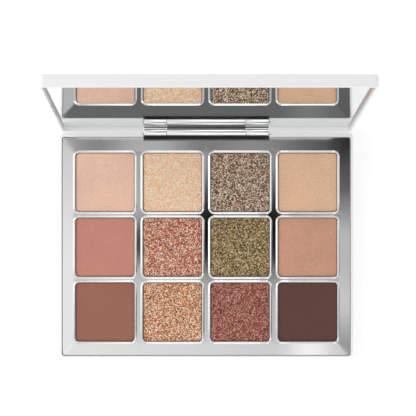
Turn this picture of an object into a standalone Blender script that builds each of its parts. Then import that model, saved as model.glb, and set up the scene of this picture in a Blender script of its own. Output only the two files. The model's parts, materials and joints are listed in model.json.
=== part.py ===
"""Eyeshadow palette: a slim white compact with twelve pressed powders, standing open.

Frame: metres, +Z up. The origin is the centre of the base's underside, +X runs along the
hinge, and +Y points to the hinge side. The lid's pieces are modelled shut, in the frame of
an empty on the hinge's axis, and the empty holds the lid open.
"""
import math

import bmesh
import bpy
from mathutils import Matrix, Vector

MM = 0.001

# Base shell
BASE_SIZE = (130.0 * MM, 100.0 * MM, 8.5 * MM)
BASE_FLOOR = 1.2 * MM
SIDE_WALL = 0.9 * MM
FRONT_WALL = 0.8 * MM
REAR_WALL = 2.0 * MM
PLAN_RADIUS = 2.0 * MM          # corners of base and lid, seen from above
OUTER_EDGE = 0.7 * MM           # rounding of the large outer faces
RIM_EDGE = 0.6 * MM             # rounding of the base's rim

# Grid of wells, seen from above
COLUMNS = 4
ROWS = 3
COLUMN_PITCH = 30.0 * MM
ROW_PITCH = 28.8 * MM
MIDDLE_ROW_Y = -1.0 * MM

# Inner tray
GAP = 0.2 * MM                  # running gap between neighbouring pieces
LIFT = 0.3 * MM                 # gap under a piece that rests on another
TRAY_DROP = 0.5 * MM            # tray border below the base's rim
TRAY_SKIN = 1.0 * MM
RING_HEIGHT = 0.4 * MM
RING_OUTER = 27.7 * MM
WELL_SIZE = 26.9 * MM
WELL_RADIUS = 1.9 * MM
WELL_FLOOR = 0.8 * MM
WELL_WALL = 0.8 * MM

# Pans and powders
PAN_SIZE = 26.6 * MM
PAN_SKIN = 0.2 * MM
PAN_HEIGHT = 4.6 * MM
POWDER_SIZE = 25.9 * MM
POWDER_RADIUS = 1.5 * MM
POWDER_EDGE = 0.25 * MM
POWDER_BELOW_PAN = 0.1 * MM
GLUE_RADIUS = 5.0 * MM
GLUE_HEIGHT = 0.3 * MM

# Hinge: a butt hinge in the parting line, its axis on the rear faces
AXIS_Y = 50.0 * MM
AXIS_Z = 8.6 * MM
OPEN_ANGLE = math.radians(95.45)
HINGE_LENGTH = 55.3 * MM
END_KNUCKLE = 10.0 * MM         # length of each of the base leaf's two knuckles
KNUCKLE_RADIUS = 1.5 * MM
KNUCKLE_GAP = 0.15 * MM         # between neighbouring knuckles, along the axis
KNUCKLE_CHAMFER = 0.15 * MM
HINGE_CLEARANCE = 0.3 * MM
COVE_RADIUS = 3.2 * MM          # hollow of the base leaf under the knuckles
LEAF_THICKNESS = 0.4 * MM
FOOT_THICKNESS = 0.6 * MM       # upright strip that carries an end knuckle
PIN_RADIUS = 0.6 * MM
PIN_HOLE_RADIUS = 0.7 * MM
PIN_RECESS = 0.4 * MM           # pin ends below the knuckles' end faces

# Lid, in its shut place
LID_WIDTH = 128.8 * MM
LID_FRONT_SETBACK = 0.4 * MM
LID_THICKNESS = 5.1 * MM
PARTING_GAP = 0.2 * MM
LID_WALL = 1.2 * MM
LID_ROOF = 1.1 * MM
LID_RIM_EDGE = 0.3 * MM
TAPE_THICKNESS = 0.25 * MM
MIRROR_THICKNESS = 1.3 * MM
WEB_THICKNESS = 0.8 * MM
WEB_ROOT = 0.5 * MM             # lid wall left above the web's notch
LATCH_STRIP = 9.0 * MM          # front strip of the lid that the tape leaves free

# Closure
MAGNET_SIZE = (10.0 * MM, 2.8 * MM, 3.0 * MM)
KEEPER_SIZE = (10.0 * MM, 5.0 * MM, 0.3 * MM)
CLOSURE_X = 45.0 * MM

CORNER_SEGMENTS = 4
EDGE_SEGMENTS = 2
HINGE_SEGMENTS = 48
PIN_SEGMENTS = 16
GLUE_SEGMENTS = 16

# Heights worked out from the sizes above
RIM_Z = BASE_SIZE[2]
TRAY_Z = RIM_Z - TRAY_DROP
RING_Z = TRAY_Z + RING_HEIGHT
TRAY_UNDERSIDE = BASE_FLOOR + LIFT
WELL_Z = TRAY_UNDERSIDE + WELL_FLOOR
GLUE_Z = WELL_Z + GAP
PAN_Z = GLUE_Z + GLUE_HEIGHT + GAP
POWDER_Z = PAN_Z + PAN_SKIN + GAP
POWDER_TOP = PAN_Z + PAN_HEIGHT - POWDER_BELOW_PAN
LID_RIM_Z = RIM_Z + PARTING_GAP
LID_TOP_Z = LID_RIM_Z + LID_THICKNESS

BASE_HALF = (BASE_SIZE[0] / 2, BASE_SIZE[1] / 2)
CAVITY_LOW = (-BASE_HALF[0] + SIDE_WALL, -BASE_HALF[1] + FRONT_WALL)
CAVITY_HIGH = (BASE_HALF[0] - SIDE_WALL, BASE_HALF[1] - REAR_WALL)
OVERCUT = 1.0 * MM

# Powder colours by row, from the hinge to the front, linear RGB
POWDER_COLOURS = (
    ((0.74, 0.50, 0.38), (0.76, 0.54, 0.34), (0.27, 0.20, 0.15), (0.68, 0.44, 0.26)),
    ((0.57, 0.24, 0.19), (0.50, 0.21, 0.14), (0.27, 0.20, 0.08), (0.58, 0.32, 0.20)),
    ((0.33, 0.14, 0.09), (0.55, 0.29, 0.15), (0.35, 0.12, 0.09), (0.11, 0.05, 0.04)),
)


def clear_scene():
    """Remove every object, and keep the file that the script runs from."""
    for old in list(bpy.data.objects):
        bpy.data.objects.remove(old, do_unlink=True)


def new_collection(name):
    collection = bpy.data.collections.new(name)
    bpy.context.scene.collection.children.link(collection)
    return collection


def material(name, colour, roughness, metallic=0.0):
    """A Principled material with one colour."""
    made = bpy.data.materials.new(name)
    made.use_nodes = True
    shader = made.node_tree.nodes["Principled BSDF"]
    shader.inputs["Base Color"].default_value = (*colour, 1.0)
    shader.inputs["Roughness"].default_value = roughness
    shader.inputs["Metallic"].default_value = metallic
    return made


def add_rounded_block(bm, low, high, corner=0.0, top=0.0, bottom=0.0):
    """Add a box from low to high with rounded upright corners and top and bottom edges."""
    low, high = Vector(low), Vector(high)
    fit = Matrix.Translation((low + high) / 2) @ Matrix.Diagonal((*(high - low), 1.0))
    verts = bmesh.ops.create_cube(bm, size=1.0, matrix=fit)["verts"]
    if corner:
        upright = {edge for vert in verts for edge in vert.link_edges
                   if abs(edge.verts[0].co.z - edge.verts[1].co.z) > (high.z - low.z) / 2}
        rounded = bmesh.ops.bevel(bm, geom=list(upright), offset=corner, affect="EDGES",
                                  segments=CORNER_SEGMENTS, profile=0.5)
        verts = {vert for vert in verts if vert.is_valid} | set(rounded["verts"])
    for level, radius in ((high.z, top), (low.z, bottom)):
        if radius:
            loop = {edge for vert in verts if vert.is_valid for edge in vert.link_edges
                    if all(abs(end.co.z - level) < 1e-7 for end in edge.verts)}
            bmesh.ops.bevel(bm, geom=list(loop), offset=radius, affect="EDGES",
                            segments=EDGE_SEGMENTS, profile=0.5)


def add_rod(bm, start, length, radius, segments, chamfer=0.0):
    """Add a closed cylinder along +X, with chamfered ends if asked."""
    turn = Matrix.Rotation(math.radians(90.0), 4, "Y")
    place = Matrix.Translation(Vector(start) + Vector((length / 2, 0.0, 0.0))) @ turn
    verts = bmesh.ops.create_cone(bm, segments=segments, radius1=radius, radius2=radius,
                                  depth=length, cap_ends=True, matrix=place)["verts"]
    if chamfer:
        ends = {edge for vert in verts for edge in vert.link_edges
                if abs(edge.verts[0].co.x - edge.verts[1].co.x) < 1e-7}
        bmesh.ops.bevel(bm, geom=list(ends), offset=chamfer, affect="EDGES", segments=1)


class Builder:
    """Makes objects and cutters, and keeps them in their collections."""

    def __init__(self):
        self.parts = new_collection("eyeshadow_palette")
        self.cutters = new_collection("cutters")

    def _add(self, name, bm, collection, location, parent):
        mesh = bpy.data.meshes.new(name)
        bmesh.ops.recalc_face_normals(bm, faces=bm.faces)
        bm.to_mesh(mesh)
        bm.free()
        made = bpy.data.objects.new(name, mesh)
        made.location = location
        made.parent = parent
        collection.objects.link(made)
        return made

    def part(self, name, bm, finish, location=(0.0, 0.0, 0.0), parent=None):
        made = self._add(name, bm, self.parts, location, parent)
        made.data.shade_smooth()
        made.data.set_sharp_from_angle(angle=math.radians(32.0))
        made.data.materials.append(finish)
        return made

    def cutter(self, name, bm, parent=None):
        made = self._add(name, bm, self.cutters, (0.0, 0.0, 0.0), parent)
        made.hide_render = True
        made.display_type = "WIRE"
        return made

    def pivot(self, name, location, turn_x):
        made = bpy.data.objects.new(name, None)
        made.location = location
        made.rotation_euler = (turn_x, 0.0, 0.0)
        self.parts.objects.link(made)
        return made


def combine(target, operand, operation):
    """Boolean the operand into or out of the target."""
    step = target.modifiers.new(operand.name, "BOOLEAN")
    step.object = operand
    step.operation = operation
    step.solver = "EXACT"


def well_centres():
    """Yield (row, column, x, y), row 1 nearest the hinge and column 1 at -X."""
    for row in range(ROWS):
        y = MIDDLE_ROW_Y + (1 - row) * ROW_PITCH
        for column in range(COLUMNS):
            yield row + 1, column + 1, (column - (COLUMNS - 1) / 2) * COLUMN_PITCH, y


def add_block_grid(bm, size, low_z, high_z, corner, top=0.0):
    """One rounded square block at every well centre."""
    half = size / 2
    for _, _, x, y in well_centres():
        add_rounded_block(bm, (x - half, y - half, low_z), (x + half, y + half, high_z),
                          corner, top)


def hinge_room_cutter(build):
    """The room that the hinge needs in the base's rear wall and in the tray."""
    half = HINGE_LENGTH / 2 + HINGE_CLEARANCE
    radius = COVE_RADIUS + LEAF_THICKNESS + GAP
    bm = bmesh.new()
    add_rod(bm, (-half, AXIS_Y, AXIS_Z), 2 * half, radius, HINGE_SEGMENTS)
    return build.cutter("hinge_room", bm)


def build_base_shell(build, finish, hinge_room):
    bm = bmesh.new()
    add_rounded_block(bm, (-BASE_HALF[0], -BASE_HALF[1], 0.0),
                      (BASE_HALF[0], BASE_HALF[1], RIM_Z), PLAN_RADIUS, RIM_EDGE, OUTER_EDGE)
    shell = build.part("base_shell", bm, finish)
    bm = bmesh.new()
    add_rounded_block(bm, (*CAVITY_LOW, BASE_FLOOR), (*CAVITY_HIGH, RIM_Z + OVERCUT),
                      PLAN_RADIUS - SIDE_WALL)
    combine(shell, build.cutter("base_cavity", bm), "DIFFERENCE")
    combine(shell, hinge_room, "DIFFERENCE")


def build_inner_tray(build, finish, hinge_room):
    """A plate with raised rings, twelve wells, and hollows under its borders."""
    low = (CAVITY_LOW[0] + GAP, CAVITY_LOW[1] + GAP)
    high = (CAVITY_HIGH[0] - GAP, CAVITY_HIGH[1] - GAP)
    bm = bmesh.new()
    add_rounded_block(bm, (*low, TRAY_UNDERSIDE), (*high, TRAY_Z),
                      PLAN_RADIUS - SIDE_WALL - GAP, GAP)
    tray = build.part("inner_tray", bm, finish)

    bm = bmesh.new()
    ring_radius = WELL_RADIUS + (RING_OUTER - WELL_SIZE) / 2
    add_block_grid(bm, RING_OUTER, TRAY_Z - TRAY_SKIN / 2, RING_Z, ring_radius, GAP)
    combine(tray, build.cutter("well_rings", bm), "UNION")

    bm = bmesh.new()
    add_block_grid(bm, WELL_SIZE, WELL_Z, RING_Z + OVERCUT, WELL_RADIUS)
    combine(tray, build.cutter("wells", bm), "DIFFERENCE")
    combine(tray, hinge_room, "DIFFERENCE")

    well_edge_x = (COLUMNS - 1) / 2 * COLUMN_PITCH + WELL_SIZE / 2 + WELL_WALL
    well_edge_rear = MIDDLE_ROW_Y + ROW_PITCH + WELL_SIZE / 2 + WELL_WALL
    well_edge_front = MIDDLE_ROW_Y - ROW_PITCH - WELL_SIZE / 2 - WELL_WALL
    rear_limit = AXIS_Y - COVE_RADIUS - LEAF_THICKNESS - GAP - WELL_WALL
    floor, ceiling = TRAY_UNDERSIDE - OVERCUT, TRAY_Z - TRAY_SKIN
    bm = bmesh.new()
    for side in (-1, 1):
        inner, outer = side * well_edge_x, side * (high[0] - WELL_WALL)
        add_rounded_block(bm, (min(inner, outer), well_edge_front, floor),
                          (max(inner, outer), well_edge_rear, ceiling))
    across = well_edge_x - WELL_WALL
    add_rounded_block(bm, (-across, well_edge_rear, floor), (across, rear_limit, ceiling))
    add_rounded_block(bm, (-across, low[1] + WELL_WALL, floor),
                      (across, well_edge_front, ceiling))
    combine(tray, build.cutter("border_hollows", bm), "DIFFERENCE")


def build_pans(build, finish):
    """Pressed pans: an open box skin thickened inwards."""
    half = PAN_SIZE / 2
    corner = WELL_RADIUS - (WELL_SIZE - PAN_SIZE) / 2
    for row, column, x, y in well_centres():
        bm = bmesh.new()
        add_rounded_block(bm, (-half, -half, 0.0), (half, half, PAN_HEIGHT), corner)
        open_side = [face for face in bm.faces if face.normal.z > 0.9]
        bmesh.ops.delete(bm, geom=open_side, context="FACES_ONLY")
        pan = build.part(f"pan_r{row}c{column}", bm, finish, (x, y, PAN_Z))
        skin = pan.modifiers.new("skin", "SOLIDIFY")
        skin.thickness = PAN_SKIN
        skin.offset = -1.0
        skin.use_even_offset = True


def build_powders(build):
    half = POWDER_SIZE / 2
    height = POWDER_TOP - POWDER_Z
    for row, column, x, y in well_centres():
        colour = POWDER_COLOURS[row - 1][column - 1]
        finish = material(f"powder_{row}_{column}", colour, 0.85)
        bm = bmesh.new()
        add_rounded_block(bm, (-half, -half, 0.0), (half, half, height), POWDER_RADIUS,
                          POWDER_EDGE)
        build.part(f"powder_r{row}c{column}", bm, finish, (x, y, POWDER_Z))


def build_glue_dots(build, finish):
    for row, column, x, y in well_centres():
        bm = bmesh.new()
        bmesh.ops.create_cone(bm, segments=GLUE_SEGMENTS, radius1=GLUE_RADIUS,
                              radius2=GLUE_RADIUS, depth=GLUE_HEIGHT, cap_ends=True)
        build.part(f"glue_dot_r{row}c{column}", bm, finish, (x, y, GLUE_Z + GLUE_HEIGHT / 2))


def build_base_magnets(build, finish):
    """Two bars in the hollow under the tray's front border."""
    width, depth, height = MAGNET_SIZE
    y = CAVITY_LOW[1] + GAP + WELL_WALL + GAP
    z = BASE_FLOOR + LIFT
    for side, x in (("left", -CLOSURE_X), ("right", CLOSURE_X)):
        bm = bmesh.new()
        add_rounded_block(bm, (-width / 2, 0.0, 0.0), (width / 2, depth, height))
        build.part(f"base_magnet_{side}", bm, finish, (x, y, z))


def bore_for_pin(build, target, parent=None):
    """Cut the pin's hole along the axis; parent is the frame whose origin is the axis."""
    length = HINGE_LENGTH + 2 * OVERCUT
    start = (-length / 2, 0.0, 0.0) if parent else (-length / 2, AXIS_Y, AXIS_Z)
    bm = bmesh.new()
    add_rod(bm, start, length, PIN_HOLE_RADIUS, PIN_SEGMENTS)
    combine(target, build.cutter(f"{target.name}_bore", bm, parent), "DIFFERENCE")


def build_base_leaf(build, finish):
    """Coved leaf sunk in the base's rear edge, with a knuckle on a foot at each end."""
    half = HINGE_LENGTH / 2
    bm = bmesh.new()
    add_rod(bm, (-half, AXIS_Y, AXIS_Z), 2 * half, COVE_RADIUS + LEAF_THICKNESS,
            HINGE_SEGMENTS)
    leaf = build.part("hinge_base_leaf", bm, finish)
    bm = bmesh.new()
    add_rod(bm, (-half - OVERCUT, AXIS_Y, AXIS_Z), 2 * (half + OVERCUT), COVE_RADIUS,
            HINGE_SEGMENTS)
    combine(leaf, build.cutter("leaf_cove", bm), "DIFFERENCE")
    reach = COVE_RADIUS + LEAF_THICKNESS + OVERCUT
    for name, low, high in (
            ("leaf_above", (AXIS_Y - reach, TRAY_Z), (AXIS_Y + reach, AXIS_Z + reach)),
            ("leaf_behind", (BASE_HALF[1], AXIS_Z - reach), (AXIS_Y + reach, AXIS_Z + reach))):
        bm = bmesh.new()
        add_rounded_block(bm, (-half - OVERCUT, *low), (half + OVERCUT, *high))
        combine(leaf, build.cutter(name, bm), "DIFFERENCE")
    foot_front = BASE_HALF[1] - FOOT_THICKNESS
    for side, start in (("left", -half), ("right", half - END_KNUCKLE)):
        bm = bmesh.new()
        add_rounded_block(bm, (start, foot_front, AXIS_Z - COVE_RADIUS - LEAF_THICKNESS / 2),
                          (start + END_KNUCKLE, BASE_HALF[1], AXIS_Z))
        combine(leaf, build.cutter(f"knuckle_foot_{side}", bm), "UNION")
        bm = bmesh.new()
        add_rod(bm, (start, AXIS_Y, AXIS_Z), END_KNUCKLE, KNUCKLE_RADIUS, HINGE_SEGMENTS,
                KNUCKLE_CHAMFER)
        combine(leaf, build.cutter(f"knuckle_{side}", bm), "UNION")
    bore_for_pin(build, leaf)


def build_hinge_pin(build, finish):
    half = HINGE_LENGTH / 2 - PIN_RECESS
    bm = bmesh.new()
    add_rod(bm, (-half, 0.0, 0.0), 2 * half, PIN_RADIUS, PIN_SEGMENTS)
    build.part("hinge_pin", bm, finish, (0.0, AXIS_Y, AXIS_Z))


def lid_knuckle_half():
    return HINGE_LENGTH / 2 - END_KNUCKLE - KNUCKLE_GAP


def lid_limits(inset):
    """The lid's shut outline drawn in by inset, as low and high (x, y) from the axis."""
    low = (-LID_WIDTH / 2 + inset, -BASE_HALF[1] + LID_FRONT_SETBACK - AXIS_Y + inset)
    high = (LID_WIDTH / 2 - inset, BASE_HALF[1] - AXIS_Y - inset)
    return low, high


def build_lid_shell(build, pivot, finish):
    low, high = lid_limits(0.0)
    rim, top = LID_RIM_Z - AXIS_Z, LID_TOP_Z - AXIS_Z
    bm = bmesh.new()
    add_rounded_block(bm, (*low, rim), (*high, top), PLAN_RADIUS, OUTER_EDGE, LID_RIM_EDGE)
    shell = build.part("lid_shell", bm, finish, parent=pivot)
    low, high = lid_limits(LID_WALL)
    bm = bmesh.new()
    add_rounded_block(bm, (*low, rim - OVERCUT), (*high, top - LID_ROOF),
                      PLAN_RADIUS - LID_WALL)
    combine(shell, build.cutter("lid_cavity", bm, pivot), "DIFFERENCE")
    _, outer = lid_limits(-OVERCUT)
    _, inner = lid_limits(LID_WALL + OVERCUT)
    half = HINGE_LENGTH / 2 + HINGE_CLEARANCE
    bm = bmesh.new()
    add_rounded_block(bm, (-half, inner[1], rim - OVERCUT),
                      (half, outer[1], top - LID_ROOF - WEB_ROOT))
    combine(shell, build.cutter("leaf_notch", bm, pivot), "DIFFERENCE")


def build_lid_leaf(build, pivot, finish):
    """Long middle knuckle, and the leaf that fills the notch in the lid's rear wall."""
    half = lid_knuckle_half()
    bm = bmesh.new()
    add_rod(bm, (-half, 0.0, 0.0), 2 * half, KNUCKLE_RADIUS, HINGE_SEGMENTS, KNUCKLE_CHAMFER)
    leaf = build.part("hinge_lid_leaf", bm, finish, parent=pivot)
    _, high = lid_limits((LID_WALL - WEB_THICKNESS) / 2)
    web_top = LID_TOP_Z - AXIS_Z - LID_ROOF - WEB_ROOT - GAP
    for name, reach, web_low in (
            ("lid_leaf_web", half - KNUCKLE_CHAMFER, PIN_HOLE_RADIUS / 2),
            ("lid_leaf_plate", HINGE_LENGTH / 2, KNUCKLE_RADIUS + HINGE_CLEARANCE)):
        bm = bmesh.new()
        add_rounded_block(bm, (-reach, high[1] - WEB_THICKNESS, web_low),
                          (reach, high[1], web_top))
        combine(leaf, build.cutter(name, bm, pivot), "UNION")
    bore_for_pin(build, leaf, pivot)


def build_mirror_stack(build, pivot, glass, tape, steel):
    """Mirror, tape and keeper plates, counted down from the lid's roof."""
    roof = LID_TOP_Z - AXIS_Z - LID_ROOF
    low, high = lid_limits(LID_WALL + GAP)
    corner = PLAN_RADIUS - LID_WALL - GAP
    mirror_back = roof - 2 * GAP - TAPE_THICKNESS
    bm = bmesh.new()
    add_rounded_block(bm, (*low, mirror_back - MIRROR_THICKNESS), (*high, mirror_back), corner)
    build.part("mirror", bm, glass, parent=pivot)

    bm = bmesh.new()
    add_rounded_block(bm, (low[0] + GAP, low[1] + LATCH_STRIP, roof - GAP - TAPE_THICKNESS),
                      (high[0] - GAP, high[1] - GAP, roof - GAP), corner)
    build.part("mirror_adhesive", bm, tape, parent=pivot)

    width, depth, height = KEEPER_SIZE
    y = low[1] + (LATCH_STRIP - depth) / 2
    z = roof - GAP - height / 2 - TAPE_THICKNESS / 2
    for side, x in (("left", -CLOSURE_X), ("right", CLOSURE_X)):
        bm = bmesh.new()
        add_rounded_block(bm, (-width / 2, 0.0, 0.0), (width / 2, depth, height))
        build.part(f"lid_keeper_{side}", bm, steel, (x, y, z), pivot)


def main():
    clear_scene()
    build = Builder()
    white = material("white_plastic", (0.86, 0.86, 0.86), 0.28)
    chrome = material("metallised_plastic", (0.80, 0.80, 0.81), 0.12, 1.0)
    plated = material("plated_hinge", (0.80, 0.80, 0.81), 0.10, 1.0)
    tin = material("pan_metal", (0.62, 0.61, 0.60), 0.30, 1.0)
    steel = material("steel", (0.55, 0.55, 0.56), 0.35, 1.0)
    magnet = material("magnet", (0.30, 0.30, 0.31), 0.40, 1.0)
    glue = material("glue", (0.80, 0.76, 0.62), 0.45)
    tape = material("tape", (0.85, 0.85, 0.82), 0.70)
    glass = material("mirror_glass", (0.92, 0.93, 0.93), 0.02, 1.0)

    hinge_room = hinge_room_cutter(build)
    build_base_shell(build, white, hinge_room)
    build_inner_tray(build, chrome, hinge_room)
    build_pans(build, tin)
    build_powders(build)
    build_glue_dots(build, glue)
    build_base_magnets(build, magnet)
    build_base_leaf(build, plated)
    build_hinge_pin(build, steel)

    pivot = build.pivot("lid_pivot", (0.0, AXIS_Y, AXIS_Z), -OPEN_ANGLE)
    build_lid_shell(build, pivot, white)
    build_lid_leaf(build, pivot, plated)
    build_mirror_stack(build, pivot, glass, tape, steel)


main()
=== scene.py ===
"""Looks for the eyeshadow palette: fine shells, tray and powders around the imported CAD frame."""
import json
import math

import bmesh
import bpy
from mathutils import Matrix, Vector


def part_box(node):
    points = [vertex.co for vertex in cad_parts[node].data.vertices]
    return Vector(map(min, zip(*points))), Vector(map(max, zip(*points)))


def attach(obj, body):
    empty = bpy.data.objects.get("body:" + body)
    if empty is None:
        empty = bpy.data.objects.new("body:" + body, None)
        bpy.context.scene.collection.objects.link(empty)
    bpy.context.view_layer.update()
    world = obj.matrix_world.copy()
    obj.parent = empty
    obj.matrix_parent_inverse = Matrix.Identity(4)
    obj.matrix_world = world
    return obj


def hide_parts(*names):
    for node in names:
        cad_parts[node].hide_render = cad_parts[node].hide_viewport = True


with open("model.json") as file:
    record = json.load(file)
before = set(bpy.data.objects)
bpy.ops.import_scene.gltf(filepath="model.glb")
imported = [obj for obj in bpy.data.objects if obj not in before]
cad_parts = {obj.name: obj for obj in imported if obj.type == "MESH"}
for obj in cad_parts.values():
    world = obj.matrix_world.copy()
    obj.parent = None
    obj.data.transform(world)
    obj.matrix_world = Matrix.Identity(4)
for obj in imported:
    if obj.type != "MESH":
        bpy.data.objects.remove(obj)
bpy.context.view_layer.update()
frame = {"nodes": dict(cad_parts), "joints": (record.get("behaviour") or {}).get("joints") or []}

MM = 0.001
HINGE = frame["joints"][0]
AXIS = Vector(HINGE["pos_m"])
OPEN_ANGLE = math.radians(HINGE["range_deg"][1])
LID_TO_WORLD = (Matrix.Translation(AXIS) @ Matrix.Rotation(-OPEN_ANGLE, 4, "X"))

COLUMNS = 4
ROWS = 3


# ---------------------------------------------------------------- geometry helpers

def shut_box(node):
    """Box of a lid node in the lid's own frame: shut, with the hinge axis as origin."""
    back = LID_TO_WORLD.inverted()
    points = [back @ v.co for v in frame["nodes"][node].data.vertices]
    low = Vector([min(p[i] for p in points) for i in range(3)])
    high = Vector([max(p[i] for p in points) for i in range(3)])
    return low, high


def square_loop(low, high, radius, z, corner_steps=8, side_steps=1):
    """Points of a rounded rectangle at height z, anticlockwise from the +X side."""
    radius = max(radius, 1e-5)
    points = []
    centres = ((high[0] - radius, high[1] - radius), (low[0] + radius, high[1] - radius),
               (low[0] + radius, low[1] + radius), (high[0] - radius, low[1] + radius))
    for quarter, (cx, cy) in enumerate(centres):
        arc = []
        for step in range(corner_steps + 1):
            angle = math.radians(90.0 * (quarter + step / corner_steps))
            arc.append(Vector((cx + radius * math.cos(angle), cy + radius * math.sin(angle), z)))
        points.extend(arc)
        nx, ny = centres[(quarter + 1) % 4]
        angle = math.radians(90.0 * (quarter + 1))
        start = arc[-1]
        end = Vector((nx + radius * math.cos(angle), ny + radius * math.sin(angle), z))
        for step in range(1, side_steps):
            points.append(start.lerp(end, step / side_steps))
    return points


def inset_loop(box, inset, radius, z, corner_steps=8, side_steps=1):
    """A rounded rectangle drawn in by inset from box = (low, high) in plan."""
    low, high = box
    return square_loop((low[0] + inset, low[1] + inset), (high[0] - inset, high[1] - inset),
                       radius - inset, z, corner_steps, side_steps)


def loft(bm, loops, cap_start=True, cap_end=True):
    """Bridge loops of equal length into a skin, and cap its ends."""
    rings = [[bm.verts.new(point) for point in loop] for loop in loops]
    count = len(rings[0])
    for lower, upper in zip(rings, rings[1:]):
        for i in range(count):
            j = (i + 1) % count
            bm.faces.new((lower[i], lower[j], upper[j], upper[i]))
    if cap_start:
        bm.faces.new(list(reversed(rings[0])))
    if cap_end:
        bm.faces.new(rings[-1])
    return rings


def round_steps(radius, steps, start=0.0, end=90.0):
    """(inset, drop) pairs along a quarter round, from the wall to the flat."""
    pairs = []
    for step in range(steps + 1):
        angle = math.radians(start + (end - start) * step / steps)
        pairs.append((radius * (1.0 - math.cos(angle)), radius * (1.0 - math.sin(angle))))
    return pairs


def make_object(name, bm, finish, matrix=None, sharp_angle=35.0):
    bmesh.ops.recalc_face_normals(bm, faces=bm.faces)
    mesh = bpy.data.meshes.new(name)
    bm.to_mesh(mesh)
    bm.free()
    if matrix is not None:
        mesh.transform(matrix)
    mesh.shade_smooth()
    mesh.set_sharp_from_angle(angle=math.radians(sharp_angle))
    mesh.materials.append(finish)
    made = bpy.data.objects.new(name, mesh)
    bpy.context.scene.collection.objects.link(made)
    return made


def cut(target, cutter):
    """Take the cutter's shape out of the target and apply it."""
    step = target.modifiers.new("cut", "BOOLEAN")
    step.object = cutter
    step.operation = "DIFFERENCE"
    step.solver = "EXACT"
    bpy.context.view_layer.update()
    evaluated = target.evaluated_get(bpy.context.evaluated_depsgraph_get())
    mesh = bpy.data.meshes.new_from_object(evaluated)
    target.modifiers.clear()
    old = target.data
    target.data = mesh
    bpy.data.meshes.remove(old)
    target.data.shade_smooth()
    target.data.set_sharp_from_angle(angle=math.radians(35.0))
    bpy.data.objects.remove(cutter, do_unlink=True)


def block(name, low, high, matrix=None):
    bm = bmesh.new()
    low, high = Vector(low), Vector(high)
    fit = Matrix.Translation((low + high) / 2) @ Matrix.Diagonal((*(high - low), 1.0))
    bmesh.ops.create_cube(bm, size=1.0, matrix=fit)
    return make_object(name, bm, None, matrix)


def rod_profile_object(name, outline, x_low, x_high, chamfer, finish, matrix=None):
    """A bar along X with the given (y, z) outline and slightly chamfered ends."""
    centre = Vector((0.0, sum(p[0] for p in outline) / len(outline),
                     sum(p[1] for p in outline) / len(outline)))
    loops = []
    for x, shrink in ((x_low, 1), (x_low + chamfer * 0.3, 0.35), (x_low + chamfer, 0),
                      (x_high - chamfer, 0), (x_high - chamfer * 0.3, 0.35), (x_high, 1)):
        ring = []
        for y, z in outline:
            point = Vector((x, y, z))
            inward = Vector((0.0, centre.y - y, centre.z - z))
            ring.append(point + inward.normalized() * chamfer * shrink)
        loops.append(ring)
    bm = bmesh.new()
    loft(bm, loops)
    return make_object(name, bm, finish, matrix)


# ---------------------------------------------------------------- material helpers

class Nodes:
    """Short names for building one material's nodes."""

    def __init__(self, name):
        self.material = bpy.data.materials.new(name)
        self.material.use_nodes = True
        self.tree = self.material.node_tree
        self.shader = self.tree.nodes["Principled BSDF"]

    def add(self, kind, **values):
        node = self.tree.nodes.new(kind)
        for key, value in values.items():
            setattr(node, key, value)
        return node

    def link(self, source, target):
        self.tree.links.new(source, target)

    def coordinates(self, scale=(1.0, 1.0, 1.0)):
        """Object coordinates, in metres, scaled per axis."""
        place = self.add("ShaderNodeTexCoord")
        mapping = self.add("ShaderNodeMapping")
        mapping.inputs["Scale"].default_value = scale
        self.link(place.outputs["Object"], mapping.inputs["Vector"])
        return mapping.outputs["Vector"]

    def noise(self, scale, detail=2.0, vector=None, roughness=0.5):
        node = self.add("ShaderNodeTexNoise")
        node.inputs["Scale"].default_value = scale
        node.inputs["Detail"].default_value = detail
        node.inputs["Roughness"].default_value = roughness
        self.link(vector if vector is not None else self.coordinates(), node.inputs["Vector"])
        return node.outputs["Fac"]

    def remap(self, value, low, high, from_low=0.0, from_high=1.0):
        node = self.add("ShaderNodeMapRange")
        node.inputs["From Min"].default_value = from_low
        node.inputs["From Max"].default_value = from_high
        node.inputs["To Min"].default_value = low
        node.inputs["To Max"].default_value = high
        self.link(value, node.inputs["Value"])
        return node.outputs["Result"]

    def maths(self, operation, first, second):
        node = self.add("ShaderNodeMath", operation=operation)
        for socket, value in zip(node.inputs, (first, second)):
            if isinstance(value, (int, float)):
                socket.default_value = value
            else:
                self.link(value, socket)
        return node.outputs["Value"]

    def ramp(self, value, stops):
        node = self.add("ShaderNodeValToRGB")
        elements = node.color_ramp.elements
        while len(elements) < len(stops):
            elements.new(0.5)
        for element, (place, colour) in zip(elements, stops):
            element.position = place
            element.color = (*colour, 1.0)
        self.link(value, node.inputs["Fac"])
        return node.outputs["Color"]

    def bump(self, height, distance, strength=1.0, normal=None):
        node = self.add("ShaderNodeBump")
        node.inputs["Strength"].default_value = strength
        node.inputs["Distance"].default_value = distance
        self.link(height, node.inputs["Height"])
        if normal is not None:
            self.link(normal, node.inputs["Normal"])
        return node.outputs["Normal"]

    def set(self, **values):
        for key, value in values.items():
            socket = self.shader.inputs[key.replace("_", " ")]
            if isinstance(value, (int, float)):
                socket.default_value = value
            elif isinstance(value, tuple):
                socket.default_value = (*value, 1.0)
            else:
                self.link(value, socket)
        return self.material


def from_srgb(*levels):
    """Linear colour of an 8-bit sRGB colour."""
    return tuple((c / 255.0 / 12.92) if c <= 10 else ((c / 255.0 + 0.055) / 1.055) ** 2.4
                 for c in levels)


def shade(colour, factor):
    return tuple(min(1.0, c * factor) for c in colour)


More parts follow.
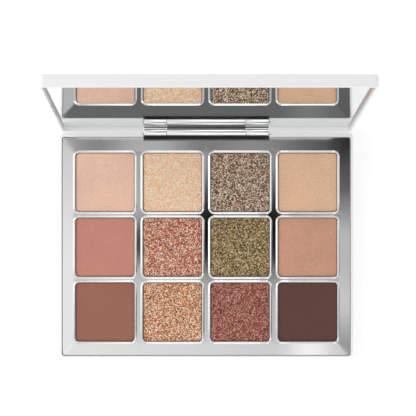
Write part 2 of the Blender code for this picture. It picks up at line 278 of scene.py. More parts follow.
def white_plastic():
    n = Nodes("white_plastic")
    polish = n.remap(n.noise(60.0, 3.0), 0.20, 0.27)
    skin = n.bump(n.noise(1400.0, 2.0), 0.00001, 0.25)
    return n.set(Base_Color=(0.90, 0.90, 0.905), Roughness=polish, Normal=skin, IOR=1.49,
                 Coat_Weight=0.15, Coat_Roughness=0.08)


def chrome(name, roughness, wave=0.35, streak_axis=None, colour=(0.86, 0.865, 0.87)):
    """Vacuum-metallised plastic: bright, a little wavy, with very fine drawn streaks."""
    n = Nodes(name)
    waviness = n.bump(n.noise(90.0, 1.0), 0.00004, wave)
    stretch = (1.0, 1.0, 1.0) if streak_axis is None else streak_axis
    streaks = n.noise(2600.0, 2.0, n.coordinates(stretch))
    skin = n.bump(streaks, 0.000004, 0.5, waviness)
    cloud = n.remap(n.noise(140.0, 3.0), roughness * 0.8, roughness * 1.25)
    return n.set(Base_Color=colour, Metallic=1.0, Roughness=cloud, Normal=skin)


def mirror_glass():
    n = Nodes("silvered_glass")
    haze = n.remap(n.noise(35.0, 2.0), 0.004, 0.012)
    return n.set(Base_Color=(0.865, 0.89, 0.875), Metallic=1.0, Roughness=haze)


def plain_metal(name, colour, roughness):
    n = Nodes(name)
    grain = n.noise(900.0, 3.0, n.coordinates((1.0, 0.15, 1.0)))
    polish = n.remap(grain, roughness * 0.8, roughness * 1.2)
    return n.set(Base_Color=colour, Metallic=1.0, Roughness=polish,
                 Normal=n.bump(grain, 0.000006, 0.4))


def plain_matt(name, colour, roughness):
    n = Nodes(name)
    grain = n.noise(1200.0, 3.0)
    tint = n.ramp(grain, ((0.3, shade(colour, 0.94)), (0.7, shade(colour, 1.04))))
    return n.set(Base_Color=tint, Roughness=roughness, Normal=n.bump(grain, 0.00001, 0.4))


def matt_powder(name, colour, texture=1.0):
    """Pressed matt powder: fine grain under a shallow linen press mark."""
    n = Nodes(name)
    split = n.add("ShaderNodeSeparateXYZ")
    n.link(n.coordinates(), split.inputs["Vector"])
    pitch = 2.0 * math.pi / (0.62 * MM)
    threads = [n.maths("SINE", n.maths("MULTIPLY", split.outputs[axis], pitch), 0.0)
               for axis in ("X", "Y")]
    weave = n.maths("MAXIMUM", threads[0], threads[1])
    mottling = n.noise(90.0, 2.0)
    grain = n.noise(1500.0, 4.0, roughness=0.75)
    tone = n.maths("ADD", n.maths("MULTIPLY", mottling, 0.2), n.maths("MULTIPLY", grain, 0.8))
    tone = n.maths("ADD", tone, n.maths("MULTIPLY", weave, 0.03))
    tint = n.ramp(tone, ((0.36, shade(colour, 1.0 - 0.10 * texture)), (0.52, colour),
                         (0.68, shade(colour, 1.0 + 0.09 * texture))))
    press = n.bump(weave, 0.00002, 0.5)
    skin = n.bump(grain, 0.00006, 0.7, press)
    return n.set(Base_Color=tint, Roughness=0.92, Normal=skin, Specular_IOR_Level=0.25,
                 Sheen_Weight=0.12, Sheen_Roughness=0.5)


def glitter_powder(name, dark, middle, light, painted_glint, cell=0.33 * MM, metallic=0.3, painted_pit_shade=0.5):
    """Pressed shimmer: flakes of several tints, each lying at its own angle; the palest flakes are
    painted highlights, near-white sparkle, and the darkest are painted shade in tiny hollows.
    """
    n = Nodes(name)
    place = n.coordinates()

    def flake_layer(size):
        """Random colour of each flake of one size, and its red, green and blue."""
        layer = n.add("ShaderNodeTexVoronoi", voronoi_dimensions="3D", feature="F1")
        layer.inputs["Scale"].default_value = 1.0 / size
        n.link(place, layer.inputs["Vector"])
        channels = n.add("ShaderNodeSeparateColor")
        n.link(layer.outputs["Color"], channels.inputs["Color"])
        return layer.outputs["Color"], channels.outputs

    coarse_colour, coarse = flake_layer(cell)
    fine = flake_layer(cell * 0.62)[1]
    tone = n.maths("ADD", n.maths("MULTIPLY", coarse["Red"], 0.85),
                   n.maths("MULTIPLY", fine["Green"], 0.15))
    # The two top stops are painted highlights, near-white sparkle; the lowest stop is painted shade,
    # darker than the darkest tone.
    tint = n.ramp(tone, ((0.18, shade(dark, painted_pit_shade)), (0.38, dark), (0.50, middle), (0.62, light),
                         (0.76, painted_glint), (0.94, shade(painted_glint, 1.4))))
    # Single flakes lean warmer, cooler or paler than the powder as a whole.
    varied = n.add("ShaderNodeHueSaturation")
    n.link(n.remap(fine["Blue"], 0.485, 0.52, 0.1, 0.9), varied.inputs["Hue"])
    n.link(n.remap(coarse["Green"], 0.85, 1.3, 0.1, 0.9), varied.inputs["Saturation"])
    n.link(tint, varied.inputs["Color"])
    tint = varied.outputs["Color"]
    tilt = n.add("ShaderNodeVectorMath", operation="SUBTRACT")
    n.link(coarse_colour, tilt.inputs[0])
    tilt.inputs[1].default_value = (0.5, 0.5, 0.5)
    spread = n.add("ShaderNodeVectorMath", operation="SCALE")
    spread.inputs["Scale"].default_value = 0.6
    n.link(tilt.outputs["Vector"], spread.inputs[0])
    facing = n.add("ShaderNodeNewGeometry")
    total = n.add("ShaderNodeVectorMath", operation="ADD")
    n.link(facing.outputs["Normal"], total.inputs[0])
    n.link(spread.outputs["Vector"], total.inputs[1])
    unit = n.add("ShaderNodeVectorMath", operation="NORMALIZE")
    n.link(total.outputs["Vector"], unit.inputs[0])
    return n.set(Base_Color=tint, Metallic=metallic, Roughness=0.4, Normal=unit.outputs["Vector"])


# ---------------------------------------------------------------- materials

WHITE = white_plastic()
TRAY_CHROME = chrome("tray_metallising", 0.045, wave=0.15)
HINGE_CHROME = chrome("hinge_plating", 0.32, wave=0.05, streak_axis=(0.02, 1.0, 1.0),
                      colour=(0.93, 0.93, 0.935))
# The hinge's leaf, feet, upturn, web and lid plate are dark metal: painted shade standing in for the
# shadowed channel round the knuckles.
HINGE_PAINTED_SHADE = plain_metal("hinge_leaf_painted_shade", (0.24, 0.24, 0.245), 0.5)
MIRROR = mirror_glass()
PAN_METAL = plain_metal("pressed_pan", (0.62, 0.60, 0.57), 0.32)
STEEL = plain_metal("steel", (0.55, 0.55, 0.56), 0.3)
NICKEL = plain_metal("nickel_plate", (0.5, 0.49, 0.46), 0.28)
GLUE = plain_matt("hot_melt", (0.80, 0.76, 0.62), 0.4)
TAPE = plain_matt("foam_tape", (0.85, 0.85, 0.82), 0.7)

# The first colours were picked by hand. A separate program then scaled them, over several
# rounds, until each powder's mean colour in the render came near that in the photograph.
POWDERS = {
    "r1c1": matt_powder("powder_light_peach", from_srgb(236, 194, 172), 1.5),
    "r1c2": glitter_powder("powder_champagne", from_srgb(238, 190, 155), from_srgb(245, 201, 166),
                           from_srgb(248, 210, 179), from_srgb(250, 232, 211), metallic=0.25, painted_pit_shade=0.92),
    "r1c3": glitter_powder("powder_taupe", from_srgb(91, 67, 51), from_srgb(149, 112, 90),
                           from_srgb(186, 151, 128), from_srgb(243, 214, 193)),
    "r1c4": matt_powder("powder_light_tan", from_srgb(231, 189, 156), 1.5),
    "r2c1": matt_powder("powder_dusty_rose", from_srgb(200, 137, 122)),
    "r2c2": glitter_powder("powder_rose_copper", from_srgb(149, 69, 52), from_srgb(201, 116, 92),
                           from_srgb(231, 152, 126), from_srgb(250, 214, 193)),
    "r2c3": glitter_powder("powder_olive_gold", from_srgb(75, 58, 27), from_srgb(124, 100, 60),
                           from_srgb(155, 132, 90), from_srgb(208, 182, 146)),
    "r2c4": matt_powder("powder_tan_peach", from_srgb(203, 154, 128), 1.8),
    "r3c1": matt_powder("powder_warm_brown", from_srgb(158, 106, 88)),
    "r3c2": glitter_powder("powder_copper_gold", from_srgb(162, 86, 51), from_srgb(215, 136, 95),
                           from_srgb(243, 169, 131), from_srgb(246, 223, 196)),
    "r3c3": glitter_powder("powder_rose_red", from_srgb(114, 52, 45), from_srgb(148, 80, 69),
                           from_srgb(167, 101, 88), from_srgb(202, 147, 132), metallic=0.2, painted_pit_shade=0.4),
    "r3c4": matt_powder("powder_dark_chocolate", from_srgb(98, 65, 58)),
}


# ---------------------------------------------------------------- hinge sizes

LEAF_THICKNESS = 0.4 * MM
FOOT_THICKNESS = 0.6 * MM        # upright strips at the rear of the base leaf
END_KNUCKLE = 10.0 * MM          # length of each of the base leaf's two knuckles
KNUCKLE_GAP = 0.15 * MM
KNUCKLE_CHAMFER = 0.15 * MM
PIN_HOLE_RADIUS = 0.7 * MM
HINGE_CLEARANCE = 0.3 * MM       # beside the leaves, in the plastic
LEAF_CLEARANCE = 0.2 * MM        # under and behind the leaves, in the plastic
STRIP_EDGE = 0.1 * MM            # rounding of the hinge's flat strips
NO_CHAMFER = 1e-7

LEAF_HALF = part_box("hinge_base_leaf")[1].x
LEAF_RADIUS = AXIS.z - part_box("hinge_base_leaf")[0].z
COVE_RADIUS = LEAF_RADIUS - LEAF_THICKNESS
KNUCKLE_RADIUS = -shut_box("hinge_lid_leaf")[0].z


def circle_outline(radius, count=96, centre=(0.0, 0.0)):
    """(y, z) points of a circle."""
    return [(centre[0] + radius * math.cos(2.0 * math.pi * i / count),
             centre[1] + radius * math.sin(2.0 * math.pi * i / count)) for i in range(count)]


def hinge_room():
    """Cutter for the room round the base leaf."""
    half = LEAF_HALF + HINGE_CLEARANCE
    outline = circle_outline(LEAF_RADIUS + LEAF_CLEARANCE, centre=(AXIS.y, AXIS.z))
    return rod_profile_object("cutter", outline, -half, half, NO_CHAMFER, None)


# ---------------------------------------------------------------- base shell

def build_base_shell():
    low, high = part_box("base_shell")
    tray_low, tray_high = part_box("inner_tray")
    box = (low, high)
    plan, foot, rim, inner_round = 2.0 * MM, 0.7 * MM, 0.45 * MM, 0.18 * MM
    gap, floor = 0.2 * MM, 1.2 * MM
    inside = ((tray_low.x - gap, tray_low.y - gap), (tray_high.x + gap, tray_high.y + gap))
    bm = bmesh.new()
    loops = [inset_loop(box, foot, plan, low.z)]
    loops += [inset_loop(box, i, plan, low.z + d) for i, d in reversed(round_steps(foot, 5)[:-1])]
    loops += [inset_loop(box, i, plan, high.z - d) for i, d in round_steps(rim, 5)]
    inner_plan = plan - 0.9 * MM
    loops += [inset_loop(inside, -(inner_round - i), inner_plan, high.z - d)
              for i, d in reversed([(inner_round - a, b) for a, b in round_steps(inner_round, 3)])]
    loops += [inset_loop(inside, 0.0, inner_plan, floor)]
    loft(bm, loops)
    shell = make_object("base_shell_moulding", bm, WHITE)
    cut(shell, hinge_room())
    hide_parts("base_shell")
    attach(shell, "base")


build_base_shell()


# ---------------------------------------------------------------- inner tray

def well_boxes():
    """{(row, column): (low, high)} of the powders in plan, row 1 at the hinge."""
    return {(r, c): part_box(f"powder_r{r}c{c}") for r in range(1, ROWS + 1)
            for c in range(1, COLUMNS + 1)}


WELL_MARGIN = 0.30 * MM          # powder edge to well edge
WELL_RADIUS = 1.9 * MM
WELL_DEPTH = 1.2 * MM            # well floor below the powder's underside
RING_LIP = 0.28 * MM             # rounding of a ring's inner edge
RING_FALLOFF = 0.62 * MM         # ring crest to tray level, seen from above
RING_HEIGHT = 0.38 * MM
SHOULDER = 0.80 * MM             # how far out the loops follow the well's outline
SETTLE = 0.05 * MM               # tight loop where a curve meets a flat
BEAD_STEPS, BORDER_STEPS = 12, 4
CORNER_STEPS, SIDE_STEPS = 8, 6
BORDER_SLOPE = math.tan(math.radians(1.5))
TRAY_EDGE = 0.10 * MM            # rounding of the tray's outer edge
TRAY_RADIUS = 0.9 * MM           # corners of the tray, seen from above
TRAY_CORE = TRAY_RADIUS - TRAY_EDGE


def core_point(point, outer):
    """The nearest point of the tray's outline drawn in by its corner radius."""
    (low_x, low_y), (high_x, high_y) = outer
    return Vector((min(max(point.x, low_x + TRAY_CORE), high_x - TRAY_CORE),
                   min(max(point.y, low_y + TRAY_CORE), high_y - TRAY_CORE), point.z))


def on_outline(point, outer):
    """Pull a point at the tray's corner onto its rounded outline."""
    core = core_point(point, outer)
    away = point - core
    if away.length > TRAY_CORE and abs(away.x) > 1e-7 and abs(away.y) > 1e-7:
        return core + away.normalized() * TRAY_CORE
    return point


def cell_boundary(well, low, high, outer):
    """The square edge of a well's cell, with one point for each point of the well."""
    corners = (Vector((high.x, high.y, 0)), Vector((low.x, high.y, 0)),
               Vector((low.x, low.y, 0)), Vector((high.x, low.y, 0)))
    half = CORNER_STEPS // 2
    stride = CORNER_STEPS + SIDE_STEPS
    boundary = []
    for i, here in enumerate(well):
        quarter, step = divmod(i, stride)
        start, end = well[quarter * stride], well[quarter * stride + CORNER_STEPS]
        corner, following = corners[quarter], corners[(quarter + 1) % 4]
        first, last = Vector((corner.x, start.y, 0)), Vector((end.x, corner.y, 0))
        if quarter % 2:
            first, last = Vector((start.x, corner.y, 0)), Vector((corner.x, end.y, 0))
        if step <= half:
            point = first.lerp(corner, step / half)
        elif step <= CORNER_STEPS:
            point = corner.lerp(last, (step - half) / half)
        elif abs(corner.y - following.y) < 1e-9:
            point = Vector((here.x, corner.y, 0))
        else:
            point = Vector((corner.x, here.y, 0))
        boundary.append(on_outline(point, outer))
    return boundary


def bead_loops(crest, shoulder, boundary, top):
    """Loops from a ring's crest, down its outer side and over the flat to the cell's edge."""
    loops = []
    last_step = BEAD_STEPS + BORDER_STEPS + 2
    for step in range(1, last_step + 1):
        loop = []
        for c, s, b in zip(crest, shoulder, boundary):
            first, rest = (s - c).length, (b - s).length
            reach = first + rest
            width = min(RING_FALLOFF, reach - 2.0 * SETTLE)
            if step <= BEAD_STEPS:
                distance = width * step / BEAD_STEPS
            elif step == last_step - 1:
                distance = reach - SETTLE
            else:
                share = min(1.0, (step - BEAD_STEPS - 1) / BORDER_STEPS)
                distance = width + SETTLE + (reach - width - SETTLE) * share
            if distance <= first:
                spot = c.lerp(s, distance / first)
            else:
                spot = s.lerp(b, (distance - first) / rest)
            fall = 0.5 - 0.5 * math.cos(math.pi * min(1.0, distance / width))
            loop.append(Vector((spot.x, spot.y, top - RING_HEIGHT * fall)))
        loops.append(loop)
    return loops


def beyond_wells(point, powders):
    """How far a point lies outside the block of wells and their rings."""
    return max(0.0, point.x - (powders[1, COLUMNS][1].x + RING_FALLOFF),
               (powders[1, 1][0].x - RING_FALLOFF) - point.x,
               point.y - (powders[1, 1][1].y + RING_FALLOFF),
               (powders[ROWS, 1][0].y - RING_FALLOFF) - point.y)


def build_tray():
    """One skin: a ringed well in each cell, and a border that falls to a rounded edge."""
    low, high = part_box("inner_tray")
    powders = well_boxes()
    xs = [(powders[1, c][1].x + powders[1, c + 1][0].x) / 2 for c in range(1, COLUMNS)]
    ys = [(powders[r, 1][0].y + powders[r + 1, 1][1].y) / 2 for r in range(1, ROWS)]
    xs = [low.x + TRAY_EDGE, *xs, high.x - TRAY_EDGE]
    ys = [high.y - TRAY_EDGE, *ys, low.y + TRAY_EDGE]
    outer = ((xs[0], ys[-1]), (xs[-1], ys[0]))

    bm = bmesh.new()
    for (row, column), (p_low, p_high) in powders.items():
        box = ((p_low.x - WELL_MARGIN, p_low.y - WELL_MARGIN),
               (p_high.x + WELL_MARGIN, p_high.y + WELL_MARGIN))
        well, crest, shoulder = (inset_loop(box, -out, WELL_RADIUS, 0.0, CORNER_STEPS, SIDE_STEPS)
                                 for out in (0.0, RING_LIP, SHOULDER))
        boundary = cell_boundary(well, Vector((xs[column - 1], ys[row], 0)),
                                 Vector((xs[column], ys[row - 1], 0)), outer)
        loops = [[Vector((p.x, p.y, p_low.z - WELL_DEPTH)) for p in well]]
        for degrees in (0, 22, 44, 66, 90):
            angle = math.radians(degrees)
            share = 1.0 - math.cos(angle)
            height = high.z - RING_LIP * (1.0 - math.sin(angle))
            loops.append([Vector((w.x + (c.x - w.x) * share, w.y + (c.y - w.y) * share, height))
                          for w, c in zip(well, crest)])
        rings = bead_loops(crest, shoulder, boundary, high.z)
        for point in (point for ring in rings for point in ring):
            point.z -= beyond_wells(point, powders) * BORDER_SLOPE
        loft(bm, loops + rings, cap_start=True, cap_end=False)
    bmesh.ops.remove_doubles(bm, verts=bm.verts, dist=0.000002)

    edge = [e for e in bm.edges if e.is_boundary]
    reached, dropped = 0.0, 0.0
    for degrees in (22.5, 45, 67.5, 90):
        reach = TRAY_EDGE * math.sin(math.radians(degrees))
        drop = TRAY_EDGE * (1 - math.cos(math.radians(degrees)))
        grown = bmesh.ops.extrude_edge_only(bm, edges=edge)["geom"]
        for vert in (g for g in grown if isinstance(g, bmesh.types.BMVert)):
            outward = (vert.co - core_point(vert.co, outer)).normalized()
            vert.co += outward * (reach - reached)
            vert.co.z -= drop - dropped
        edge = [g for g in grown if isinstance(g, bmesh.types.BMEdge)]
        reached, dropped = reach, drop
    grown = bmesh.ops.extrude_edge_only(bm, edges=edge)["geom"]
    for vert in (g for g in grown if isinstance(g, bmesh.types.BMVert)):
        vert.co.z = low.z
    edge = [g for g in grown if isinstance(g, bmesh.types.BMEdge)]
    bmesh.ops.contextual_create(bm, geom=edge)
    tray = make_object("tray_metallised", bm, TRAY_CHROME, sharp_angle=50.0)
    cut(tray, hinge_room())
    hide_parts("inner_tray")
    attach(tray, "base")


build_tray()


# ---------------------------------------------------------------- pans and powders

def build_pan(row, column):
    low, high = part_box(f"pan_r{row}c{column}")
    box = (low, high)
    skin, bend, radius, lip = 0.2 * MM, 0.5 * MM, 1.75 * MM, 0.06 * MM
    loops = [inset_loop(box, bend, radius, low.z)]
    loops += [inset_loop(box, i, radius, low.z + d) for i, d in reversed(round_steps(bend, 4)[:-1])]
    loops += [inset_loop(box, i, radius, high.z - d) for i, d in round_steps(lip, 2)]
    loops += [inset_loop(box, skin - i, radius, high.z - d) for i, d in reversed(round_steps(lip, 2))]
    loops += [inset_loop(box, skin, radius, low.z + skin)]
    bm = bmesh.new()
    loft(bm, loops)
    pan = make_object(f"pan_pressing_r{row}c{column}", bm, PAN_METAL)
    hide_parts(f"pan_r{row}c{column}")
    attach(pan, "base")


def build_powder(row, column):
    """A pressed cake: soft upper edge and a very slightly crowned face."""
    low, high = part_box(f"powder_r{row}c{column}")
    box = (low, high)
    radius, edge, crown = 1.5 * MM, 0.32 * MM, 0.10 * MM
    top = high.z - crown
    loops = [inset_loop(box, 0.0, radius, low.z, 8, 4)]
    loops += [inset_loop(box, i, radius, top - d, 8, 4) for i, d in round_steps(edge, 4)]
    half = (high.x - low.x) / 2
    for share in (0.12, 0.25, 0.45, 0.65, 0.85):
        inset = edge + (half - edge) * share
        rise = crown * (1.0 - (1.0 - share) ** 2.5)
        loops.append(inset_loop(box, inset, max(radius, inset + 0.4 * MM), top + rise, 8, 4))
    bm = bmesh.new()
    loft(bm, loops)
    cake = make_object(f"powder_cake_r{row}c{column}", bm, POWDERS[f"r{row}c{column}"])
    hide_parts(f"powder_r{row}c{column}")
    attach(cake, "base")


for row in range(1, ROWS + 1):
    for column in range(1, COLUMNS + 1):
        build_pan(row, column)
        build_powder(row, column)


# ---------------------------------------------------------------- lid

def build_lid_shell():
    low, high = shut_box("lid_shell")
    box = (low, high)
    plan, wall, roof = 2.0 * MM, 1.2 * MM, 1.1 * MM
    top_round, rim, inner_round = 0.7 * MM, 0.3 * MM, 0.15 * MM
    loops = [inset_loop(box, top_round, plan, high.z)]
    loops += [inset_loop(box, i, plan, high.z - d)
              for i, d in reversed(round_steps(top_round, 5)[:-1])]
    loops += [inset_loop(box, i, plan, low.z + d) for i, d in round_steps(rim, 4)]
    loops += [inset_loop(box, wall - i, plan, low.z + d)
              for i, d in reversed(round_steps(inner_round, 3))]
    loops += [inset_loop(box, wall, plan, high.z - roof)]
    bm = bmesh.new()
    loft(bm, loops)
    shell = make_object("lid_moulding", bm, WHITE, LID_TO_WORLD)
    half = LEAF_HALF + HINGE_CLEARANCE
    notch_top = shut_box("hinge_lid_leaf")[1].z + LEAF_CLEARANCE
    cut(shell, block("cutter", (-half, high.y - wall - MM, low.z - MM),
                     (half, high.y + MM, notch_top), LID_TO_WORLD))
    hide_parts("lid_shell")
    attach(shell, "lid")


def build_mirror():
    low, high = shut_box("mirror")
    box = (low, high)
    plan, polish = 0.6 * MM, 0.12 * MM
    loops = [inset_loop(box, polish, plan, high.z)]
    loops += [inset_loop(box, 0.0, plan, high.z - polish), inset_loop(box, 0.0, plan, low.z + polish),
              inset_loop(box, polish, plan, low.z)]
    bm = bmesh.new()
    loft(bm, loops)
    glass = make_object("mirror_plate", bm, MIRROR, LID_TO_WORLD, sharp_angle=20.0)
    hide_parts("mirror")
    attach(glass, "lid")


def add_knuckle(name, x_low, x_high, matrix=None):
    """A round knuckle about the axis with softened ends and the pin's bore."""
    centre = (0.0, 0.0) if matrix is not None else (AXIS.y, AXIS.z)
    knuckle = rod_profile_object(name, circle_outline(KNUCKLE_RADIUS, centre=centre),
                                 x_low, x_high, KNUCKLE_CHAMFER, HINGE_CHROME, matrix)
    half = LEAF_HALF + MM
    cut(knuckle, rod_profile_object("cutter", circle_outline(PIN_HOLE_RADIUS, 32, centre),
                                    -half, half, NO_CHAMFER, None, matrix))
    return knuckle


def flat_strip(name, low, high, z_low, z_high, matrix=None):
    """A flat strip between two plan corners, with rounded upright edges."""
    bm = bmesh.new()
    loft(bm, [square_loop(low, high, STRIP_EDGE, z, 3) for z in (z_low, z_high)])
    # The strip's dark finish is painted shade for the shadowed hinge channel.
    return make_object(name, bm, HINGE_PAINTED_SHADE, matrix)


def leaf_arc(radius, top, steps=32):
    """(y, z) points round the leaf's hollow, from the height top to straight below the axis."""
    start = math.asin((top - AXIS.z) / radius)
    points = []
    for step in range(steps + 1):
        angle = math.pi - start + (math.pi / 2 + start) * step / steps
        points.append((AXIS.y + radius * math.cos(angle), AXIS.z + radius * math.sin(angle)))
    return points


def build_base_leaf():
    """Coved leaf in the base's rear edge, with a knuckle on a foot at each end."""
    tray_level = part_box("inner_tray")[1].z - 0.4 * MM
    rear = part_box("base_shell")[1].y
    roll = 0.12 * MM
    outer_arc = [(y, z) for y, z in leaf_arc(LEAF_RADIUS, tray_level) if y <= rear]
    outline = outer_arc + leaf_arc(COVE_RADIUS, tray_level)[::-1]
    # The upper edge between the two arcs is rolled over instead of being left sharp.
    first, last = outline[0], outline[-1]
    middle = (first[0] + last[0]) / 2
    for end in (last, first):
        outline.append((end[0] + (middle - end[0]) * 0.35, end[1] + roll * 0.8))
    bm = bmesh.new()
    loft(bm, [[Vector((x, y, z)) for y, z in outline] for x in (-LEAF_HALF, LEAF_HALF)])
    # The leaf's dark finish is painted shade for the shadowed cove under the knuckles.
    leaf = make_object("hinge_coved_leaf", bm, HINGE_PAINTED_SHADE)
    pieces = [leaf]
    strip_front = rear - FOOT_THICKNESS
    strip_foot = AXIS.z - LEAF_RADIUS + LEAF_THICKNESS / 2
    for side, x_low in (("left", -LEAF_HALF), ("right", LEAF_HALF - END_KNUCKLE)):
        x_high = x_low + END_KNUCKLE
        pieces.append(add_knuckle(f"hinge_end_knuckle_{side}", x_low, x_high))
        pieces.append(flat_strip(f"hinge_foot_{side}", (x_low, strip_front), (x_high, rear),
                                 strip_foot, AXIS.z - PIN_HOLE_RADIUS - 0.1 * MM))
    # Between the feet the rear edge is turned up to just under the lid's knuckle.
    half = LEAF_HALF - END_KNUCKLE - 0.1 * MM
    pieces.append(flat_strip("hinge_leaf_upturn", (-half, strip_front), (half, rear),
                             strip_foot, AXIS.z - KNUCKLE_RADIUS - 0.2 * MM))
    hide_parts("hinge_base_leaf")
    for piece in pieces:
        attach(piece, "base")


def build_lid_leaf():
    """Long middle knuckle, the web that fills the notch in the lid's rear wall, and its plate."""
    high = shut_box("hinge_lid_leaf")[1]
    half = LEAF_HALF - END_KNUCKLE - KNUCKLE_GAP
    front, rear = -1.0 * MM, -0.2 * MM
    knuckle = add_knuckle("hinge_middle_knuckle", -half, half, LID_TO_WORLD)
    web_half = half - KNUCKLE_GAP
    web = flat_strip("hinge_web", (-web_half, front), (web_half, rear),
                     PIN_HOLE_RADIUS + 0.1 * MM, high.z, LID_TO_WORLD)
    plate = flat_strip("hinge_lid_plate", (-high.x, front), (high.x, rear),
                       KNUCKLE_RADIUS + HINGE_CLEARANCE, high.z, LID_TO_WORLD)
    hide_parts("hinge_lid_leaf")
    for piece in (knuckle, web, plate):
        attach(piece, "lid")


build_lid_shell()
build_mirror()
build_base_leaf()
build_lid_leaf()


# ---------------------------------------------------------------- carried CAD nodes

def finish_node(name, finish):
    slots = frame["nodes"][name].material_slots
    for slot in slots:
        slot.material = finish


for name in frame["nodes"]:
    if name.startswith("glue_dot"):
        finish_node(name, GLUE)
    elif name.startswith("base_magnet"):
        finish_node(name, NICKEL)
    elif name.startswith("lid_keeper") or name == "hinge_pin":
        finish_node(name, STEEL)
    elif name == "mirror_adhesive":
        finish_node(name, TAPE)


# ---------------------------------------------------------------- camera, light and floor

RIM_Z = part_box("base_shell")[1].z
CAMERA_HEIGHT = 0.662
CAMERA_SPOT = (-0.0058, 0.00024)
TENT_LEVEL = 0.87
REAR_TENT_LEVEL = 0.7 * TENT_LEVEL


def build_camera():
    camera = bpy.data.cameras.new("camera")
    camera.sensor_width = 36.0
    camera.lens = 129.1
    camera.shift_x = 0.0353
    camera.shift_y = 0.0875
    camera.clip_start = 0.01
    camera.clip_end = 20.0
    made = bpy.data.objects.new("camera", camera)
    made.location = (*CAMERA_SPOT, RIM_Z + CAMERA_HEIGHT)
    made.rotation_euler = (0.0, 0.0, 0.0)
    bpy.context.scene.collection.objects.link(made)
    bpy.context.scene.camera = made


class Sky:
    """Short names for building the world's brightness out of mathematics on its direction."""

    def __init__(self, tree):
        self.tree = tree

    def maths(self, operation, first, second=0.0):
        node = self.tree.nodes.new("ShaderNodeMath")
        node.operation = operation
        for socket, value in zip(node.inputs, (first, second)):
            if isinstance(value, (int, float)):
                socket.default_value = value
            else:
                self.tree.links.new(value, socket)
        return node.outputs["Value"]

    def add(self, first, second):
        return self.maths("ADD", first, second)

    def product(self, *factors):
        result = factors[0]
        for factor in factors[1:]:
            result = self.maths("MULTIPLY", result, factor)
        return result

    def without(self, level, share):
        """The level with a share of it taken away."""
        return self.product(level, self.maths("SUBTRACT", 1.0, share))

    def blend(self, first, second, share):
        return self.add(self.without(first, share), self.product(second, share))

    def smooth(self, value, low, high, to_low, to_high):
        """An S-curve from to_low, at low, to to_high, at high."""
        node = self.tree.nodes.new("ShaderNodeMapRange")
        node.interpolation_type = "SMOOTHSTEP"
        for key, number in (("From Min", low), ("From Max", high), ("To Min", to_low),
                            ("To Max", to_high)):
            node.inputs[key].default_value = number
        self.tree.links.new(value, node.inputs["Value"])
        return node.outputs["Result"]

    def profile(self, value, low, high, levels):
        """Smooth curve through (place, level) pairs, as a factor."""
        node = self.tree.nodes.new("ShaderNodeValToRGB")
        node.color_ramp.interpolation = "EASE"
        elements = node.color_ramp.elements
        while len(elements) < len(levels):
            elements.new(0.5)
        top = max(level for _, level in levels)
        for element, (place, level) in zip(elements, levels):
            element.position = (place - low) / (high - low)
            element.color = (level / top, level / top, level / top, 1.0)
        scaled = self.maths("DIVIDE", self.maths("SUBTRACT", value, low), high - low)
        self.tree.links.new(scaled, node.inputs["Fac"])
        return self.product(node.outputs["Color"], top)


def overhead_patch(sky, u, v):
    """The grey patch over the tray: what its border and the bars between its wells reflect."""
    slope = sky.add(sky.product(u, -1.3), sky.product(v, -2.6))
    level = sky.maths("MINIMUM", sky.maths("MAXIMUM", sky.add(slope, 0.58), 0.04), 1.0)
    # Lighter and darker stretches along the right, front and rear borders. Their levels were
    # tuned against the brightness along the photograph's borders.
    right = sky.profile(v, -0.1, 0.1, ((-0.07, 0.7), (-0.038, 1.6), (-0.012, 1.5), (0.004, 1.8),
                                       (0.030, 0.9), (0.036, 0.45), (0.045, 0.5), (0.066, 0.2)))
    level = sky.product(level, sky.blend(1.0, right, sky.smooth(u, 0.10, 0.14, 0.0, 1.0)))
    front = sky.profile(u, -0.1, 0.12, ((-0.1, 1.0), (0.060, 0.97), (0.075, 1.55), (0.083, 1.5),
                                        (0.098, 1.0), (0.12, 0.9)))
    level = sky.product(level, sky.blend(front, 1.0, sky.smooth(v, -0.11, -0.095, 0.0, 1.0)))
    rear = sky.profile(u, -0.1, 0.11, ((-0.090, 1.4), (-0.066, 0.8), (-0.034, 1.75), (-0.022, 1.8),
                                       (0.004, 0.95), (0.044, 1.55), (0.084, 0.85), (0.100, 0.3)))
    level = sky.product(level, sky.blend(1.0, rear, sky.smooth(v, 0.085, 0.105, 0.0, 1.0)))
    # The left border is the lightest, up to an even limit.
    level = sky.product(level, sky.smooth(u, -0.135, -0.085, 1.35, 1.0))
    level = sky.maths("MINIMUM", level, sky.smooth(u, -0.12, -0.10, 1.04, 3.0))
    # A near-black round spot, with an arm across the tray's middle.
    du, dv = sky.add(u, -0.031), sky.product(sky.add(v, -0.012), 1.3)
    distance = sky.maths("SQRT", sky.add(sky.product(du, du), sky.product(dv, dv)))
    spot = sky.smooth(distance, 0.028, 0.066, 0.02, 1.0)
    arm = sky.smooth(sky.maths("ABSOLUTE", sky.add(v, -0.001)), 0.009, 0.018, 0.93, 0.0)
    arm = sky.product(arm, sky.smooth(u, -0.056, -0.044, 0.0, 1.0),
                      sky.smooth(u, 0.062, 0.080, 1.0, 0.0))
    return sky.without(sky.product(level, spot), arm)


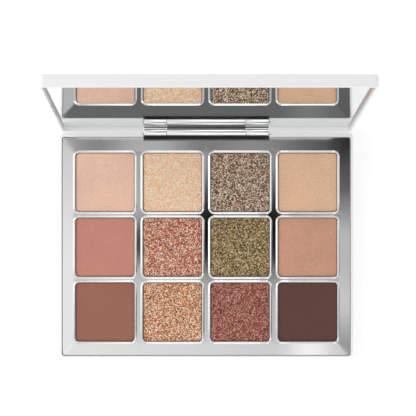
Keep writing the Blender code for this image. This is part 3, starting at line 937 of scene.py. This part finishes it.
def dark_flags(sky, u, v, lean_x, lean_y):
    """Shares of the tent's light that the dark panels in front and at the right take away."""
    band = sky.product(sky.smooth(v, -0.19, -0.16, 0.82, 0.0), sky.smooth(v, -0.48, -0.38, 0.35, 1.0),
                       sky.smooth(v, -0.75, -0.6, 0.0, 1.0), sky.smooth(u, -0.135, -0.105, 0.45, 1.0))
    # Reflections in the tray's front edge keep their sideways lean, and those in its right
    # edge keep their forward lean, so these two panels end at a lean and not at u or v.
    front = sky.product(sky.smooth(v, -0.45, -0.38, 0.97, 0.0), sky.smooth(v, -4.0, -2.5, 0.0, 1.0),
                        sky.smooth(lean_x, 0.045, 0.065, 0.0, 1.0),
                        sky.smooth(lean_x, 0.12, 0.16, 1.0, 0.0))
    right = sky.product(sky.smooth(u, 0.19, 0.23, 0.0, 0.9), sky.smooth(u, 2.0, 4.0, 1.0, 0.0),
                        sky.smooth(lean_y, 0.0, 0.02, 1.0, 0.3),
                        sky.smooth(lean_y, 0.08, 0.12, 1.0, 0.0),
                        sky.smooth(lean_y, -0.12, -0.08, 0.0, 1.0))
    return band, front, right


def build_world():
    """A white tent, with a graded grey patch overhead and dark panels in front and at the right."""
    world = bpy.data.worlds.new("studio")
    bpy.context.scene.world = world
    world.use_nodes = True
    tree = world.node_tree
    sky = Sky(tree)
    place = tree.nodes.new("ShaderNodeTexCoord")
    split = tree.nodes.new("ShaderNodeSeparateXYZ")
    tree.links.new(place.outputs["Generated"], split.inputs["Vector"])
    lean_x, lean_y = split.outputs["X"], split.outputs["Y"]
    # u and v say where a direction meets a flat ceiling one unit up.
    height = sky.maths("MAXIMUM", split.outputs["Z"], 0.001)
    u = sky.maths("DIVIDE", lean_x, height)
    v = sky.maths("DIVIDE", lean_y, height)
    spread = sky.maths("SQRT", sky.add(sky.product(u, u), sky.product(v, v)))
    tent = sky.blend(overhead_patch(sky, u, v), 1.0, sky.smooth(spread, 0.2, 0.45, 0.0, 1.0))
    for share in dark_flags(sky, u, v, lean_x, lean_y):
        tent = sky.without(tent, share)
    tent = sky.product(tent, sky.smooth(lean_y, 0.51, 0.85, TENT_LEVEL, REAR_TENT_LEVEL))
    background = tree.nodes["Background"]
    tree.links.new(tent, background.inputs["Strength"])
    background.inputs["Color"].default_value = (1.0, 1.0, 1.0, 1.0)


def build_lights():
    """Two large soft boxes, at the left and in front, which keep the powders' texture readable."""
    for name, spot, size, power in (("softbox_left", (-0.9, 0.25, 0.9), 0.7, 3.7),
                                    ("softbox_front", (0.2, -0.9, 0.9), 0.7, 2.8)):
        lamp = bpy.data.lights.new(name, "AREA")
        lamp.shape = "SQUARE"
        lamp.size = size
        lamp.energy = power
        made = bpy.data.objects.new(name, lamp)
        made.location = spot
        made.rotation_euler = Vector(spot).to_track_quat("Z", "Y").to_euler()
        bpy.context.scene.collection.objects.link(made)


def build_floor():
    n = Nodes("studio_floor")
    n.set(Base_Color=(0.93, 0.93, 0.93), Roughness=0.9, Specular_IOR_Level=0.1,
          Emission_Color=(1.0, 1.0, 1.0), Emission_Strength=0.23)
    bm = bmesh.new()
    bmesh.ops.create_grid(bm, x_segments=1, y_segments=1, size=3.0,
                          matrix=Matrix.Translation((0.0, 0.0, -0.0002)))
    floor = make_object("floor", bm, n.material)


build_camera()
build_world()
build_lights()
build_floor()
bpy.context.scene.view_settings.view_transform = "Standard"
